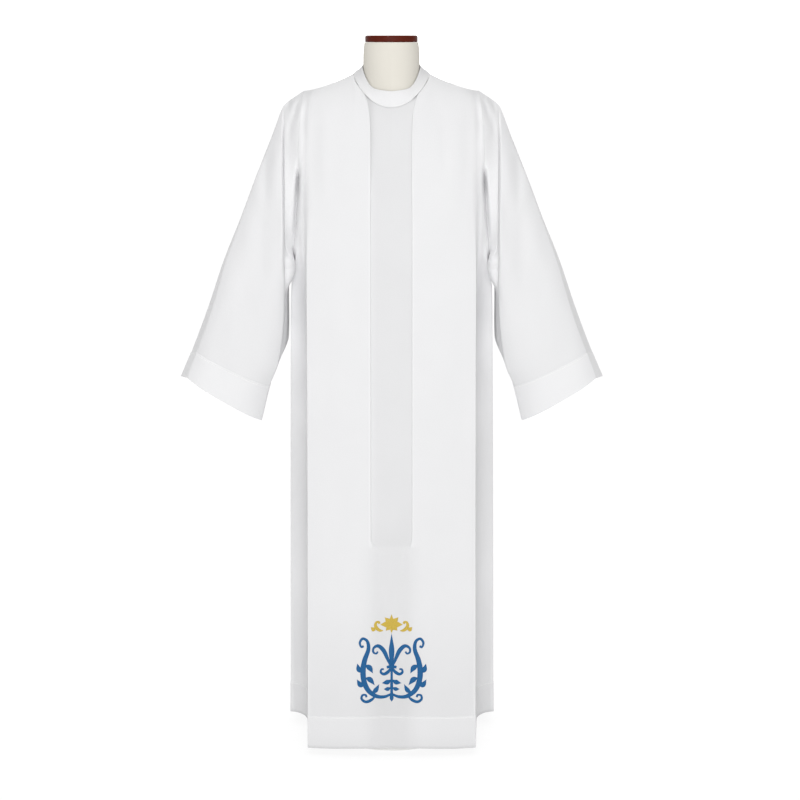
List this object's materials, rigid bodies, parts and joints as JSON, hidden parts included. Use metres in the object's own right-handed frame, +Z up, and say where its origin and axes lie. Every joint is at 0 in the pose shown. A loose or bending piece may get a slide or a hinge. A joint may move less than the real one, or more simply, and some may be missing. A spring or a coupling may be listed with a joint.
{
  "type": "alb robe on dress form",
  "caption": "Full-length wide-sleeved vestment with an inverted front pleat and a round neckband, worn by a limbless dress form on a round-based stand.",
  "frame": {"origin": "centre of the bounding box on the floor, on the underside of the stand's round base", "axes": "+Z up along the stand, -Y towards the robe's front, +X towards the wearer's left sleeve"},
  "size_m": [0.9728, 0.3948, 1.5963],
  "materials": {
    "white_cloth": "white plain-woven polyester and wool cloth, matt",
    "form_linen": "cream linen stretched over the form",
    "cap_wood": "red-brown stained and varnished wood",
    "stand_metal": "pale powder-coated steel",
    "gold_thread": "gold rayon embroidery thread, satin",
    "blue_thread": "blue rayon embroidery thread, satin"
  },
  "bodies": {
    "root": {"front": "white_cloth", "back": "white_cloth", "sleeve_left": "white_cloth", "sleeve_right": "white_cloth", "neckband": "white_cloth", "dress_form": "form_linen", "neck_cap": "cap_wood", "stand_pole": "stand_metal", "stand_base": "stand_metal"}
  },
  "joints": []
}
